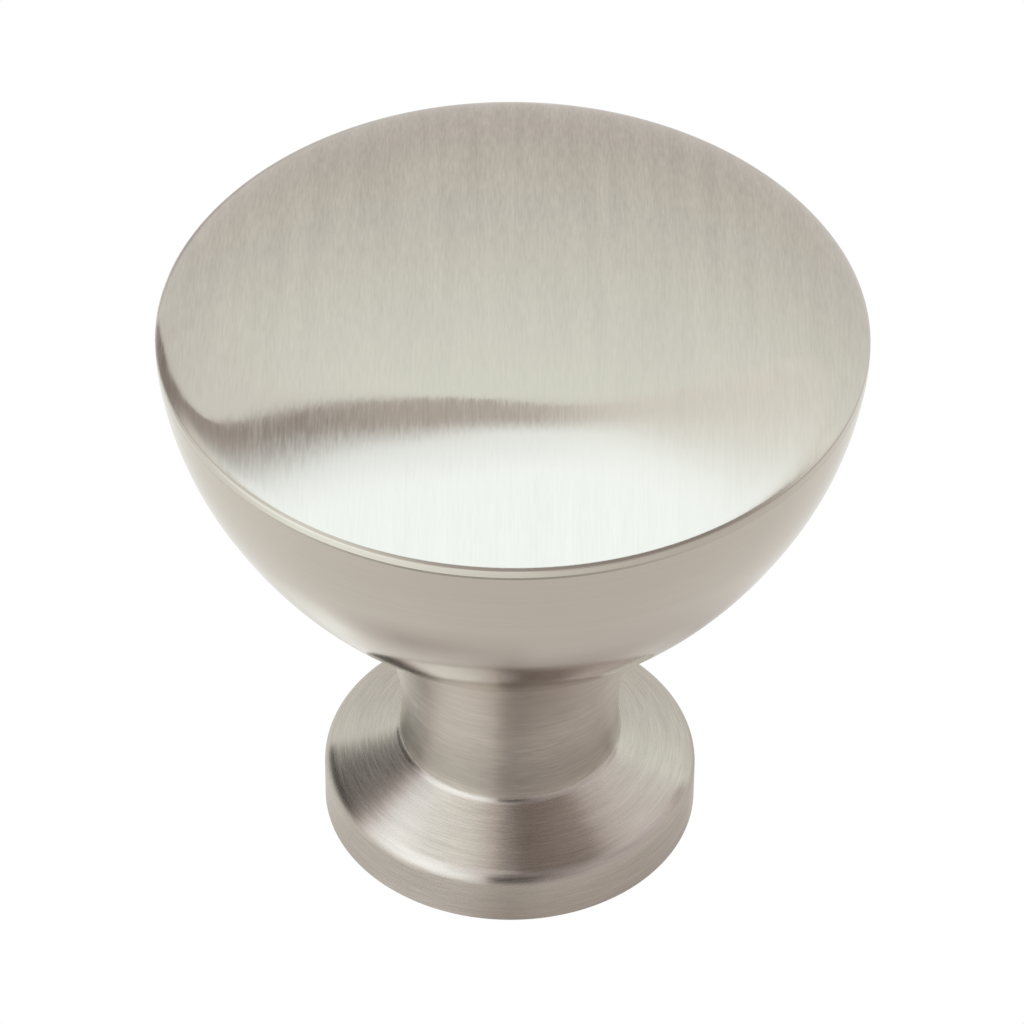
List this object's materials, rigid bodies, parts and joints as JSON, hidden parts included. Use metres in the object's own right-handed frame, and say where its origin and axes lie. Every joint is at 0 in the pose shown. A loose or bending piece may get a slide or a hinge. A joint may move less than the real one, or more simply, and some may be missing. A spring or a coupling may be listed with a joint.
{
  "type": "cabinet knob",
  "caption": "Round cabinet knob with a shallow domed brushed face, bowl-shaped head, waisted stem and coned foot, fixed by a screw into the tapped hole in its foot.",
  "frame": {"origin": "centre of the foot's mounting face", "axes": "+Z along the knob's axis from the mounting face to the head, -Y towards the viewer, brush lines of the face along Y"},
  "size_m": [0.0318, 0.0318, 0.033],
  "materials": {
    "satin_nickel": "satin nickel plate over die-cast zinc, brushed"
  },
  "bodies": {
    "root": {"knob_body": "satin_nickel"}
  },
  "joints": []
}
